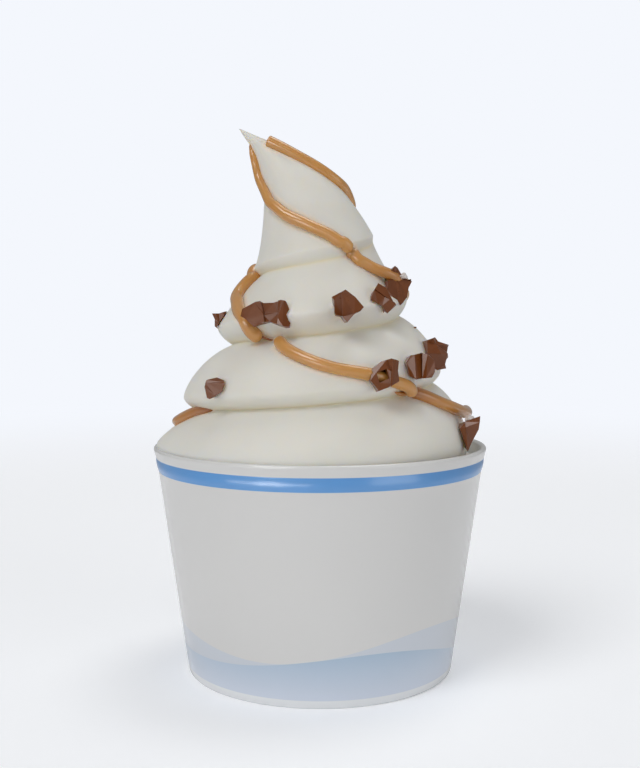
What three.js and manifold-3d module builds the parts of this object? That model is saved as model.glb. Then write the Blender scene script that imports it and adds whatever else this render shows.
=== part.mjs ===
// Frozen yogurt swirl in a paper cup, with caramel and chocolate chunks.
// Millimetres, Z up. The cup stands on Z = 0 and its axis is the Z axis.
// Seen from the front (from -Y), +X is to the right.

import * as THREE from 'three';
import { mergeVertices } from 'three/addons/utils/BufferGeometryUtils.js';
import Module from 'manifold-3d';

const wasm = await Module();
wasm.setup();

const TAU = 2 * Math.PI;

// Paper cup
const CUP_HEIGHT = 65.3;
const FOOT_RADIUS = 38.5;
const BAND_BOTTOM = 58.4;
const BAND_BOTTOM_RADIUS = 46.8;
const BAND_TOP = 62.2;
const BAND_TOP_RADIUS = 47.5;
const BAND_SWELL = 0.3;
const WALL = 1.1;
const RIM_RADIUS = 48.1;
const RIM_BEAD = 0.8;
const RIM_NECK = 61;
const FOOT_ROUND = 0.5;

// Cup base: a disc with its edge turned down into the folded foot of the wall
const RECESS = 6.4;
const PAPER = 0.9;
const FOLD_HEIGHT = 5.2;
const FOLD_BOTTOM = 1;
const GAP = 0.3;

// Facets round the axis, the same for the cup and the swirl so that their gap is even
const SIDES = 52;

// Swirl
const FILL_EDGE = 0.7;
const FILL_TOP = 58;
const COILS = 5;
const PEAK_ROWS = 7;
const PEAK_DEPTH = 0.96;

// Share of a coil's side that lies under its lip, and how round that underside is
const UNDERSIDE = 0.3;
const UNDERSIDE_ROUND = 1.7;

// Where the facets of a coil's side fall, closest near its lip
const COIL_STEPS = [0, 0.14, 0.24, 0.31, 0.4, 0.52, 0.68, 0.84];

// Outermost edge of each coil: turns from the left side, radius, height
const LIP = [
  [-1, 45.4, 60.2],
  [-0.9, 45.4, 60.4],
  [-0.5, 45, 61.4],
  [-0.25, 44.6, 64.4],
  [0, 47.4, 65.8],
  [0.25, 45.3, 65.3],
  [0.5, 42.8, 67],
  [0.75, 41.4, 72.6],
  [1, 39.8, 78.5],
  [1.5, 34.9, 87.3],
  [2, 29.9, 98.8],
  [2.5, 25.2, 108],
  [3, 19.2, 116.2],
  [3.5, 15.3, 125.8],
  [4, 16.2, 133.7],
];

// Groove under each coil: turns from the left side, radius, height
const GROOVE = [
  [-1, 45.4, 60.2],
  [0, 45.4, 60.2],
  [0.1, 45, 60.9],
  [0.25, 44.6, 61.2],
  [0.5, 41, 62.6],
  [0.75, 37.6, 69],
  [1, 34.6, 74.9],
  [1.5, 30.9, 83.6],
  [2, 24.4, 94],
  [2.25, 22.9, 97.4],
  [2.5, 21.8, 102.6],
  [3, 16.9, 113.6],
  [3.25, 15.9, 117.4],
  [3.5, 15.2, 123.9],
  [4, 16.2, 133.7],
];

// How full the side of a coil is: 1 is straight, 2 is a round quarter
const FULLNESS = [
  [-1, 1.2],
  [0, 1.2],
  [0.5, 1.6],
  [1, 1.5],
  [1.5, 1.5],
  [2, 1.17],
  [3, 0.67],
  [3.5, 1.07],
  [4, 1],
];

// Leaning peak, from its foot (0) to its tip (1): left edge X, Z and right edge X, Z
const PEAK = [
  [0, -16.2, 133.7, 10.2, 133.7],
  [0.2, -16, 137.6, 6.6, 138.4],
  [0.4, -16.9, 141.8, 2.4, 142.4],
  [0.6, -17.9, 146, -3.7, 146.6],
  [0.8, -19.6, 150.6, -10.9, 150.9],
  [0.93, -21.9, 153.9, -18.6, 154.2],
  [1, -23.3, 156.2, -23.3, 156.2],
];

// Caramel: each strand follows the swirl, given as turns from the left side, coils up and
// how far its middle is raised off the swirl
const CARAMEL_RADIUS = 1.5;
const CARAMEL_SIDES = 7;
const CARAMEL_STEP = 3.6;
const CARAMEL_CLEARANCE = 0.4;
const DRAPE_STEPS = 4;
const STRAND_SAMPLES = 12;
const STRAND_SLACK = 6;
const LONG_STRAND = [
  [0.065, 4.85, 0.9],
  [0.006, 4.4, 0.9],
  [0.071, 4.11, 0.9],
  [0.114, 3.95, 0.9],
  [0.148, 3.84, 0.9],
  [0.204, 3.74, 0.9],
  [0.274, 3.57, 0.9],
  [0.318, 3.33, 0.9],
  [0.336, 2.9, 2],
  [0.394, 2.62, 3],
  [0.495, 2.47, 0.9],
  [0.6, 1.9, 0.9],
  [0.72, 1.5, 0.9],
  [0.82, 0.75, 0.9],
  [0.9, 0.4, 0.9],
  [0.972, -0.1, 0.9],
  [1.015, -0.33, 0.9],
  [1.055, -0.15, 0.9],
  [1.09, -0.02, 0.9],
];
const SHORT_STRAND = [
  [0.308, 4.83, 0.9],
  [0.397, 4.57, 0.9],
  [0.458, 4.29, 0.9],
  [0.53, 4.16, 0.9],
  [0.6, 3.88, 0.9],
  [0.69, 3.35, 0.9],
  [0.76, 2.85, 0.9],
  [0.858, 2.6, 1.1],
  [0.952, 2.31, 1.7],
  [1.033, 1.72, 1.5],
  [1.083, 1.55, 0.9],
  [1.122, 1.38, 0.9],
  [1.136, 1.18, 0.9],
  [1.162, 1.05, 0.9],
  [1.19, 0.78, 0.9],
  [1.256, 0.55, 0.9],
  [1.318, 0.42, 0.9],
  [1.358, 0.26, 0.9],
  [1.389, -0.12, 0.9],
  [1.416, -0.27, 0.9],
  [1.455, -0.4, 1.3],
  [1.481, -0.47, 1.7],
];

// Chocolate chunks, lifted this far off the yogurt that they are fitted to, outwards and up
const LIFT = 0.4;
const LIFT_SLOPE = 12;

// Each has at: the middle of its front; yaw and lean: the way its front looks; deep: its
// thickness; outline: its broken edge, X and up; cuts: flat breaks, each with its direction
// round the front, its slope and how far from the middle it lies; chips: places broken
// down below the front, each with its depth and its sides. Caramel lies over the one that
// is draped.
const CHUNKS = {
  chocolate_chunk_1: {
    at: [-28.3, -6.6, 101.1],
    yaw: -6,
    lean: 0,
    deep: 6,
    outline: [
      [-2.1, 1.9], [-0.1, 1.9], [2.1, 2.6], [1.9, 1.1], [0.4, -1.2], [-0.4, -2.6], [-1.6, -1.8],
      [-1.3, 0.2],
    ],
    cuts: [[215, 45, 2.9], [20, 40, 3.4]],
  },
  chocolate_chunk_2: {
    at: [-14.3, -26.4, 103],
    yaw: -10,
    lean: 12,
    deep: 6.4,
    outline: [
      [-6.9, -0.7], [-6.5, 1.2], [-2.8, 3.2], [-1.6, 3.4], [-0.8, 3], [1.8, 3.1], [4, 3.7], [5.2, 3.5],
      [6.9, -0.3], [6.2, -3.3], [5.1, -3.4], [3.4, -2.9], [1, -2], [-0.4, -2.2], [-3, -3.7], [-5.3, -1.6],
    ],
    cuts: [[0, 48, 5.7], [176, 30, 5.9]],
    chips: [[0.8, [[-1.9, 4.6], [-0.6, 0.2], [-0.2, -2.9], [3.1, -4], [3.5, 0], [3.2, 4.6]]]],
  },
  chocolate_chunk_3: {
    at: [7.4, -28.3, 105],
    yaw: 6,
    lean: 12,
    deep: 7,
    outline: [[-4.2, 2.4], [-0.5, 4.4], [2, 2.4], [4.2, -0.3], [3.2, -1.4], [1.7, -2], [-0.3, -4.4],
      [-1.5, -2.8], [-3.3, -2.4], [-3.6, -1.7], [-3.6, 1.5]],
    cuts: [[120, 40, 4.6], [300, 46, 4.3]],
    chips: [
      [1, [[-5, 3], [-1.7, 1.6], [-1.4, -3.4], [-5, -3.4]]],
      [3, [[-1.9, 1], [-1, -0.4], [-0.8, -3.6], [-1.8, -3.6]]],
    ],
  },
  chocolate_chunk_4: {
    at: [16.9, -21.2, 107.2],
    yaw: 14,
    lean: 10,
    deep: 6.4,
    outline: [
      [-1, 4.2], [1.2, 2.9], [3.6, -2], [1, -4.2], [-0.5, -2.2], [-3.6, -0.6], [-3.3, 0.6],
      [-2.3, 2.3],
    ],
    cuts: [[235, 30, 3.9], [20, 42, 4.1]],
    chips: [[0.8, [[-3, 2.8], [0.4, 0.2], [4.4, -1.9], [2.4, 4.6], [-1, 5.2]]]],
  },
  chocolate_chunk_5: {
    at: [22.4, -12.5, 111],
    yaw: 14,
    lean: 4,
    deep: 7.4,
    outline: [[-2.3, 4.2], [-1.3, 5.5], [-0.4, 4.9], [0.7, 3.1], [2.4, 1.6], [3.5, 1.9], [3.8, 1.2],
      [2.6, -0.7], [2.1, -3.2], [0, -5.5], [-1.1, -4.6], [-3.2, -4.1], [-3.8, -1.3], [-3.4, 1.2]],
    cuts: [[340, 40, 4.1]],
    chips: [[2, [[-2.8, 0.6], [1.9, 0.9], [1.4, -2.8], [-0.8, -4], [-2.5, -2.8]]]],
    draped: true,
  },
  chocolate_chunk_6: {
    at: [33.2, -11.5, 91.7],
    yaw: 6,
    lean: -4,
    deep: 7.4,
    outline: [[-3.3, 3.8], [-1.1, 4.6], [0, 3.4], [3.3, 2.4], [2.7, 0.3], [3.1, -1], [1.8, -2.6],
      [2.5, -4.2], [-0.3, -4.6], [-3.4, -3]],
    cuts: [[45, 42, 4.2], [290, 36, 5]],
    chips: [[1.1, [[-4, 5], [-0.6, 5], [0.3, 0.4], [-1, -1.4], [-4, -0.6]]]],
  },
  chocolate_chunk_7: {
    at: [27.2, -24.3, 89.1],
    yaw: 12,
    lean: 4,
    deep: 7,
    outline: [
      [-3.8, 1], [-2.4, 2.9], [0.7, 3.5], [2.3, 2.4], [3.8, -1.6], [3, -3.1], [-1.5, -3.5],
      [-2.8, -2.7],
    ],
    cuts: [[184, 44, 3.9], [70, 46, 4.2]],
    chips: [[1.2, [[-0.6, 4.2], [-0.3, -4.2], [1.2, -4.2], [1.3, 4.2]]]],
  },
  chocolate_chunk_8: {
    at: [16.8, -36, 87.3],
    yaw: 10,
    lean: 8,
    deep: 8.4,
    outline: [
      [-3.3, 1.6], [-0.9, 3.5], [1.6, 4.2], [3.8, 3.6], [3.5, 1.1], [4, -1.6], [1.1, -3.1],
      [-1.8, -4.2], [-4, -1.3],
    ],
    hole: [[-1.8, 0.3], [0.1, 1], [0.5, -0.7], [-1.3, -1.5]],
    cuts: [[140, 34, 4.3], [350, 42, 4.6]],
    chips: [[0.5, [[-5, 3.8], [0.9, 4.6], [0.8, 0.9], [1.2, -3.6], [-5, -5]]]],
  },
  chocolate_chunk_9: {
    at: [-27.8, -28.2, 83.5],
    yaw: -12,
    lean: 10,
    deep: 5.6,
    outline: [
      [-1.5, 3.2], [0.2, 2.8], [2.4, 2], [2.7, 1.3], [2.3, -0.9], [0.5, -2.2], [-1.1, -3.2],
      [-1.9, -2.9],
      [-2.7, 0], [-2.4, 1.6],
    ],
    cuts: [[84, 50, 3.1]],
  },
  chocolate_chunk_10: {
    at: [41.6, -16, 70],
    yaw: 8,
    lean: 0,
    deep: 6.4,
    outline: [[-2.9, 1.5], [-1, 3.4], [2.9, 4.8], [2.5, 1.1], [0.6, -2.4], [-0.7, -4.8]],
    cuts: [[190, 42, 2.9], [10, 30, 4]],
  },
};

// Smooth curve through the rows of a table, read at x in its first column
function along(table, x, column) {
  const last = table.length - 1;
  const at = Math.min(Math.max(x, table[0][0]), table[last][0]);
  let i = 0;
  while (i < last - 1 && at >= table[i + 1][0]) i += 1;
  const slope = (k) => {
    const before = table[Math.max(k - 1, 0)];
    const after = table[Math.min(k + 1, last)];
    return (after[column] - before[column]) / (after[0] - before[0]);
  };
  const h = table[i + 1][0] - table[i][0];
  const u = (at - table[i][0]) / h;
  const start = (2 * u ** 3 - 3 * u ** 2 + 1) * table[i][column] + (u ** 3 - 2 * u ** 2 + u) * h * slope(i);
  const end = (3 * u ** 2 - 2 * u ** 3) * table[i + 1][column] + (u ** 3 - u ** 2) * h * slope(i + 1);
  return start + end;
}

// Point at a radius and height, the given number of turns round from the left side
function around(turn, radius, height) {
  const angle = Math.PI + TAU * turn;
  return new THREE.Vector3(radius * Math.cos(angle), radius * Math.sin(angle), height);
}

// Leaning peak: tilted ovals that shrink to the tip
function peakPoint(turn, rise) {
  const left = new THREE.Vector3(along(PEAK, rise, 1), 0, along(PEAK, rise, 2));
  const right = new THREE.Vector3(along(PEAK, rise, 3), 0, along(PEAK, rise, 4));
  const middle = left.clone().add(right).multiplyScalar(0.5);
  const half = right.clone().sub(left).multiplyScalar(0.5);
  const way = around(turn, 1, 0);
  const point = middle.add(half.clone().multiplyScalar(way.x));
  point.y += half.length() * PEAK_DEPTH * way.y;
  return point;
}

function groovePoint(turn) {
  if (turn > 4) return peakPoint(turn, 0);
  return around(turn, along(GROOVE, turn, 1), along(GROOVE, turn, 2));
}

function lipPoint(turn) {
  return around(turn, along(LIP, turn, 1), along(LIP, turn, 2));
}

// Side of a coil, from the groove below it (0) over its lip to the groove above it (1)
function coilPoint(turn, part) {
  const lip = lipPoint(turn);
  const below = part < UNDERSIDE;
  const groove = groovePoint(below ? turn : turn + 1);
  const power = 2 / (below ? UNDERSIDE_ROUND : along(FULLNESS, turn, 1));
  const share = below ? part / UNDERSIDE : 1 - (part - UNDERSIDE) / (1 - UNDERSIDE);
  const out = Math.sin(share * Math.PI / 2) ** power;
  const up = Math.cos(share * Math.PI / 2) ** power;
  return new THREE.Vector3(
    groove.x + (lip.x - groove.x) * out,
    groove.y + (lip.y - groove.y) * out,
    lip.z + (groove.z - lip.z) * up,
  );
}

// Whole swirl: turns from the left side, and coils up, the peak from 4 to 5
function swirlPoint(turn, level) {
  if (level >= 4) return peakPoint(turn, level - 4);
  const coil = Math.floor(level);
  return coilPoint(turn + coil, level - coil);
}

// Closed mesh from a grid of rows, its first and last row each drawn to one point
function closedGrid(rows, bottom, top) {
  const points = [];
  const faces = [];
  const put = (point) => points.push(point.x, point.y, point.z);
  rows.forEach((row) => row.forEach(put));
  put(bottom);
  put(top);
  const width = rows[0].length;
  for (let r = 0; r + 1 < rows.length; r += 1) {
    for (let i = 0; i + 1 < width; i += 1) {
      const a = r * width + i;
      faces.push(a, a + 1, a + 1 + width, a, a + 1 + width, a + width);
    }
  }
  const end = (rows.length - 1) * width;
  const low = rows.length * width;
  for (let i = 0; i + 1 < width; i += 1) {
    faces.push(low, i + 1, i);
    faces.push(low + 1, end + i, end + i + 1);
  }
  return meshOf(points, faces);
}

function meshOf(points, faces) {
  const geometry = new THREE.BufferGeometry();
  geometry.setAttribute('position', new THREE.Float32BufferAttribute(points, 3));
  geometry.setIndex(faces);
  return geometry;
}

// Solid for joining and cutting, without doubled points or empty triangles
function solid(geometry) {
  const bare = geometry.clone();
  bare.deleteAttribute('normal');
  bare.deleteAttribute('uv');
  const merged = mergeVertices(bare, 1e-4);
  const index = Array.from(merged.index.array);
  const kept = [];
  for (let i = 0; i < index.length; i += 3) {
    const [a, b, c] = index.slice(i, i + 3);
    if (a !== b && b !== c && c !== a) kept.push(a, b, c);
  }
  return new wasm.Manifold(new wasm.Mesh({
    numProp: 3,
    vertProperties: new Float32Array(merged.attributes.position.array),
    triVerts: new Uint32Array(kept),
  }));
}

// Body turned about the Z axis from a closed outline of radius and height
function turned(outline, sides) {
  const closed = [...outline, outline[0]].map(([radius, height]) => new THREE.Vector2(radius, height));
  return new THREE.LatheGeometry(closed, sides).rotateX(Math.PI / 2);
}

function arc(radius, height, size, from, to, steps) {
  const points = [];
  for (let i = 0; i <= steps; i += 1) {
    const angle = THREE.MathUtils.degToRad(from + (to - from) * i / steps);
    points.push([radius + size * Math.cos(angle), height + size * Math.sin(angle)]);
  }
  return points;
}

function wallRadius(height) {
  if (height < BAND_BOTTOM) return FOOT_RADIUS + (BAND_BOTTOM_RADIUS - FOOT_RADIUS) * height / BAND_BOTTOM;
  const share = (height - BAND_BOTTOM) / (BAND_TOP - BAND_BOTTOM);
  return BAND_BOTTOM_RADIUS + (BAND_TOP_RADIUS - BAND_BOTTOM_RADIUS) * share;
}

// Cup wall: cone, flared band, rolled rim, and a foot folded up inside
function cupOutline() {
  const fold = FOOT_RADIUS - WALL - PAPER - 1.5 * GAP;
  return [
    ...arc(FOOT_RADIUS - FOOT_ROUND, FOOT_ROUND, FOOT_ROUND, -90, 0, 2),
    [BAND_BOTTOM_RADIUS, BAND_BOTTOM],
    [(BAND_BOTTOM_RADIUS + BAND_TOP_RADIUS) / 2 + BAND_SWELL, (BAND_BOTTOM + BAND_TOP) / 2],
    [BAND_TOP_RADIUS, BAND_TOP],
    ...arc(RIM_RADIUS - RIM_BEAD, CUP_HEIGHT - RIM_BEAD, RIM_BEAD, -8, 188, 6),
    [wallRadius(RIM_NECK) - WALL, RIM_NECK],
    [wallRadius(FOLD_HEIGHT) - WALL, FOLD_HEIGHT],
    [wallRadius(FOLD_BOTTOM) - WALL, FOLD_BOTTOM],
    [fold, FOLD_BOTTOM],
    [fold, FOLD_HEIGHT],
    [fold - PAPER, FOLD_HEIGHT],
    [fold - PAPER, FOOT_ROUND],
    [fold - PAPER + FOOT_ROUND, 0],
  ];
}

// Cup base: disc and turned-down edge, which stands in the folded foot
function baseOutline() {
  const low = FOLD_BOTTOM + GAP;
  const edge = wallRadius(low) - WALL - GAP;
  return [
    [0, RECESS],
    [edge - PAPER, RECESS],
    [edge - PAPER, low],
    [edge, low],
    [edge, RECESS + PAPER],
    [0, RECESS + PAPER],
  ];
}

// Ring round the rolled rim, for what has to stay clear of it
function rimClearance() {
  const low = FILL_TOP + 1;
  return [
    [RIM_RADIUS + GAP, low],
    ...arc(RIM_RADIUS - RIM_BEAD, CUP_HEIGHT - RIM_BEAD, RIM_BEAD + GAP, -8, 188, 8),
    [wallRadius(RIM_NECK) - WALL - GAP, RIM_NECK],
    [wallRadius(low) - WALL - GAP, low],
  ];
}

// Yogurt: the fill in the cup, the coils and the peak
function swirl() {
  const ring = (pointAt) => {
    const row = [];
    for (let i = 0; i <= SIDES; i += 1) row.push(pointAt(i / SIDES));
    return row;
  };
  const fillRing = (height, less) => {
    const radius = wallRadius(height) - WALL - GAP - less;
    return ring((turn) => around(turn, radius, height));
  };
  const floor = RECESS + PAPER + GAP;
  const rows = [fillRing(floor, FILL_EDGE), fillRing(floor + FILL_EDGE, 0), fillRing(FILL_TOP, 0)];
  for (let coil = -1; coil < COILS - 1; coil += 1) {
    COIL_STEPS.forEach((part) => rows.push(ring((turn) => coilPoint(turn + coil, part))));
  }
  for (let k = 0; k < PEAK_ROWS; k += 1) rows.push(ring((turn) => peakPoint(turn, k / PEAK_ROWS)));
  return closedGrid(rows, new THREE.Vector3(0, 0, floor), peakPoint(0, 1));
}

// Rope along a path of points, with rounded ends: one short step and then a point
function rope(path, radius) {
  const sides = CARAMEL_SIDES;
  const curve = new THREE.CatmullRomCurve3(path);
  const steps = Math.round(curve.getLength() / CARAMEL_STEP);
  const frames = curve.computeFrenetFrames(steps, false);
  const rows = [];
  const rowAt = (centre, k, size) => {
    const row = [];
    for (let i = 0; i <= sides; i += 1) {
      const angle = TAU * (i % sides) / sides;
      const side = frames.normals[k].clone().multiplyScalar(size * Math.cos(angle));
      side.addScaledVector(frames.binormals[k], size * Math.sin(angle));
      row.push(centre.clone().add(side));
    }
    rows.push(row);
  };
  const start = curve.getPointAt(0);
  const end = curve.getPointAt(1);
  const before = (reach) => start.clone().addScaledVector(frames.tangents[0], -radius * reach);
  const after = (reach) => end.clone().addScaledVector(frames.tangents[steps], radius * reach);
  rowAt(before(0.55), 0, radius * 0.7);
  for (let k = 0; k <= steps; k += 1) rowAt(curve.getPointAt(k / steps), k, radius);
  rowAt(after(0.55), steps, radius * 0.7);
  return closedGrid(rows, before(0.75), after(0.75));
}

// Path of a strand: it lies on the swirl, slack enough to bridge the deepest grooves
function strandPath(strand) {
  const table = strand.map((row, i) => [i, ...row]);
  const near = 0.003;
  let path = [];
  for (let k = 0; k <= STRAND_SAMPLES * (strand.length - 1); k += 1) {
    const turn = along(table, k / STRAND_SAMPLES, 1);
    const level = along(table, k / STRAND_SAMPLES, 2);
    const raised = along(table, k / STRAND_SAMPLES, 3);
    const aside = swirlPoint(turn + near, level).sub(swirlPoint(turn - near, level));
    const up = swirlPoint(turn, level + near).sub(swirlPoint(turn, level - near));
    path.push(swirlPoint(turn, level).addScaledVector(aside.cross(up).normalize(), raised));
  }
  for (let pass = 0; pass < STRAND_SLACK; pass += 1) {
    path = path.map((point, i) => {
      if (i === 0 || i === path.length - 1) return point;
      const mean = path[i - 1].clone().add(path[i + 1]).multiplyScalar(0.5);
      return point.clone().lerp(mean, 0.5);
    });
  }
  const curve = new THREE.CatmullRomCurve3(path);
  return curve.getSpacedPoints(Math.round(curve.getLength() / CARAMEL_STEP));
}

// Chunk: its outline made thick, turned to face its way, with flat breaks
function chunk({ at, yaw, lean, deep, outline, hole, cuts, chips = [] }) {
  const block = (sides, depth) => {
    const shape = new THREE.Shape(sides.map(([x, y]) => new THREE.Vector2(x, y)));
    return new THREE.ExtrudeGeometry(shape, { depth, bevelEnabled: false }).translate(0, 0, -depth / 2);
  };
  let body = solid(block(outline, deep));
  if (hole) body = body.subtract(solid(block(hole, 2 * deep)));
  chips.forEach(([down, sides]) => {
    body = body.subtract(solid(block(sides, deep).translate(0, 0, deep - down)));
  });
  const size = 4 * deep;
  cuts.forEach(([direction, slope, reach]) => {
    const cutter = new THREE.BoxGeometry(size, size, size).translate(0, 0, size / 2 + reach);
    cutter.rotateY(THREE.MathUtils.degToRad(slope));
    cutter.rotateZ(THREE.MathUtils.degToRad(direction));
    body = body.subtract(solid(cutter));
  });
  const place = new THREE.Matrix4().makeTranslation(...at);
  place.multiply(new THREE.Matrix4().makeRotationZ(THREE.MathUtils.degToRad(yaw)));
  place.multiply(new THREE.Matrix4().makeRotationX(THREE.MathUtils.degToRad(90 - lean)));
  place.multiply(new THREE.Matrix4().makeTranslation(0, 0, -deep / 2));
  return moved(body, place);
}

// The same solid, moved
function moved(body, matrix) {
  const mesh = body.getMesh();
  const points = new THREE.Float32BufferAttribute(mesh.vertProperties, 3).applyMatrix4(matrix);
  return new wasm.Manifold(new wasm.Mesh({
    numProp: 3,
    vertProperties: new Float32Array(points.array),
    triVerts: mesh.triVerts,
  }));
}

function geometryOf(body) {
  const mesh = body.getMesh();
  const points = [];
  for (let i = 0; i < mesh.vertProperties.length; i += mesh.numProp) {
    points.push(...mesh.vertProperties.slice(i, i + 3));
  }
  return meshOf(points, Array.from(mesh.triVerts));
}

const cup = new THREE.Group();
cup.name = 'frozen_yogurt_cup';

function add(name, geometry, color, roughness) {
  geometry.computeVertexNormals();
  const mesh = new THREE.Mesh(geometry, new THREE.MeshStandardMaterial({ color, roughness, metalness: 0 }));
  mesh.name = name;
  cup.add(mesh);
}

const CARD_WHITE = '#f1f2f4';
const YOGURT = '#e9e4d8';
const CHOCOLATE = '#6a3d28';

const wall = solid(turned(cupOutline(), SIDES));
const base = solid(turned(baseOutline(), SIDES));
const nearRim = solid(turned(rimClearance(), SIDES));
const strands = [LONG_STRAND, SHORT_STRAND].map(strandPath);
const ropes = strands.map((path) => solid(rope(path, CARAMEL_RADIUS)));
const nearRopes = strands.map((path) => solid(rope(path, CARAMEL_RADIUS + CARAMEL_CLEARANCE)));

let yogurt = solid(swirl()).subtract(nearRim);
const bareSwirl = yogurt;
ropes.forEach((strand) => {
  yogurt = yogurt.add(strand.subtract(nearRim));
});

add('cup_wall', geometryOf(wall), CARD_WHITE, 0.45);
add('cup_base', geometryOf(base), CARD_WHITE, 0.5);
add('yogurt_swirl', geometryOf(yogurt), YOGURT, 0.4);

// Each chunk is cut to the swirl under it and lifted clear of it
Object.entries(CHUNKS).forEach(([name, sizes]) => {
  const out = new THREE.Vector3(sizes.at[0], sizes.at[1], LIFT_SLOPE).setLength(LIFT);
  let body = moved(chunk(sizes).subtract(bareSwirl), new THREE.Matrix4().setPosition(out));
  const reach = sizes.draped ? DRAPE_STEPS : 0;
  nearRopes.forEach((strand) => {
    for (let k = 0; k <= reach; k += 1) {
      body = body.subtract(strand.translate(...out.clone().setLength(k * CARAMEL_RADIUS)));
    }
  });
  add(name, geometryOf(body.subtract(nearRim)), CHOCOLATE, 0.35);
});

export default cup;
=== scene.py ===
"""Frozen yogurt swirl in a paper cup with caramel and chocolate chunks, dressed for the render.

Sizes are in millimetres and are turned into metres where a mesh is made. The cup's axis is Z,
the viewer stands at -Y, and +X is to the viewer's right.
"""
import math
import random

import bmesh
import bpy
import numpy as np
from mathutils import Matrix, Vector
from mathutils.bvhtree import BVHTree


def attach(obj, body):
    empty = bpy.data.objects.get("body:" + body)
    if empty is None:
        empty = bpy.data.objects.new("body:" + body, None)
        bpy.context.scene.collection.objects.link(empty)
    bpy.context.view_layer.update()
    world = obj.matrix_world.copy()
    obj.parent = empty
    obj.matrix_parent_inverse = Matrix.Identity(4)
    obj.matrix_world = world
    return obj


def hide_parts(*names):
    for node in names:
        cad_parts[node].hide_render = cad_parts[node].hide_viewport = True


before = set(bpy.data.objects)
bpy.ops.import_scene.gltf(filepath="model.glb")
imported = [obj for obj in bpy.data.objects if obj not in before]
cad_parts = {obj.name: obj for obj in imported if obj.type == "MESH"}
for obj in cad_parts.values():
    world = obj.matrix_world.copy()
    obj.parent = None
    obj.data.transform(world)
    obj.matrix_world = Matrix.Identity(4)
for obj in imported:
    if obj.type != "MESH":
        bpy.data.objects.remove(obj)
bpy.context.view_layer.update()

MM = 0.001
TAU = 2 * math.pi

# Points closer than this, in metres, are one point: in a piece made here, and in a CAD solid
SAME_POINT = 1e-6
SAME_CAD_POINT = 2e-5

# Share of the way to its neighbours that each easing pass moves a point
EASE = 0.5

# Room between parts that don't touch
GAP = 0.3

# Camera, worked out from the cup's rim and foot in the photograph
CAMERA_DISTANCE = 310.65
CAMERA_HEIGHT = 103.12
CAMERA_PITCH = math.radians(3.78)
LENS = 50
SENSOR = 36

# Wall of the paper cup, from its foot past the raised band to the rolled rim
CUP_HEIGHT = 65.3
WALL = 1.1
FOOT_RADIUS = 38.5
FOOT_ROUND = 0.5
BAND_BOTTOM = 58.4
BAND_BOTTOM_RADIUS = 46.8
BAND_TOP = 62.2
BAND_TOP_RADIUS = 47.5
BAND_SWELL = 0.2
RIM_RADIUS = 48.1
RIM_BEAD = 0.8
RIM_NECK = 61

# Degrees where the rim's bead starts and ends
BEAD_START = -8
BEAD_END = 188

# Base, set up inside the foot, and the foot's fold, which holds its skirt
PAPER = 0.9
RECESS = 6.4
FOLD_HEIGHT = 5.2
FOLD_BOTTOM = 1
SKIRT_PLAY = 1.5 * GAP
BASE_CHAMFER = 0.4

# Parts that the cup is divided into: round its axis, and along its foot, wall, band and rim
CUP_SIDES = 240
FOOT_STEPS = 6
WALL_STEPS = 23
BAND_STEPS = 8
BEAD_STEPS = 24

# The base's outline stops this far from the axis
AXIS_GAP = 0.01

# Points of the cup less than this under the wall's outer face belong to the outer face
OUTER_SKIN = 0.3

# Glued seam of the wall, at the back: its place in degrees from the front, its width, its top,
# its step, and the share of the step that it starts with
SEAM_ANGLE = 168
SEAM_WIDTH = 8
SEAM_TOP = RIM_NECK + 1
SEAM_STEP = 0.25
SEAM_START = 0.25

# Printed waves: height, then cosine and sine sizes of each whole number of waves round the cup
FRONT_WAVE = (8.8, (3.3, 0.05), (1.5, 0.6), (-0.1, 1.3))
BACK_WAVE = (14.4, (1.0, 0.75), (-0.4, 1.35), (-1.55, 1.3))
FOOT_STRIP = 2.3

# The front wave has its full colour from this height, and the print's edges are this soft
FADE_TOP = 15
WAVE_EDGE = 0.12
BAND_EDGE = 0.1

# Depth of the bump that rolls the band's shine over its height
BAND_ROLL = 1.1

# Swirl: turns from the left side, radius and height of each coil's lip and of the groove under it
LIP = (
    (-1, 45.4, 60.2),
    (-0.9, 45.4, 60.4),
    (-0.5, 45, 61.4),
    (-0.25, 44.6, 64.4),
    (0, 47.4, 65.8),
    (0.25, 46.1, 65.4),
    (0.5, 42.8, 67),
    (0.75, 41.4, 72.6),
    (1, 39.8, 78.5),
    (1.5, 34.9, 87.3),
    (2, 29.9, 98.8),
    (2.5, 25.2, 108),
    (3, 19.2, 116.2),
    (3.5, 15.3, 125.8),
    (4, 16.2, 133.7),
)
GROOVE = (
    (-1, 45.4, 60.2),
    (0, 45.4, 60.2),
    (0.1, 45.6, 60.9),
    (0.25, 45.4, 61.2),
    (0.5, 41, 62.6),
    (0.75, 37.6, 69),
    (1, 34.6, 74.9),
    (1.5, 30.9, 83.6),
    (2, 24.4, 94),
    (2.25, 22.9, 97.4),
    (2.5, 21.8, 102.6),
    (3, 16.9, 113.6),
    (3.25, 15.9, 117.4),
    (3.5, 15.2, 123.9),
    (4, 16.2, 133.7),
)

# The first coil starts a turn before the left side, and the peak stands on the last
FIRST_COIL = -1
COILS = 4

# Exponents of the ovals of a coil's side, where 2 is an ellipse and 1 is straight: over its lip,
# at turns from the left side, and under it. UNDERSIDE is the share of the side under the lip
FULLNESS = (
    (-1, 1.2),
    (0, 1.2),
    (0.5, 1.6),
    (1, 1.5),
    (1.5, 1.5),
    (2, 1.17),
    (3, 0.67),
    (3.5, 1.07),
    (4, 1),
)
UNDERSIDE_ROUND = 1.7
UNDERSIDE = 0.3

# Shares of a coil's side over which the painted glow of the groove below it and above it fades
FADE_BELOW = 0.2
FADE_ABOVE = 0.16

# Fill inside the cup: height of its top, its bottom edge, and its bottom's innermost ring
FILL_TOP = 58
FILL_EDGE = 0.7
FILL_MIDDLE = 2.18

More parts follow.
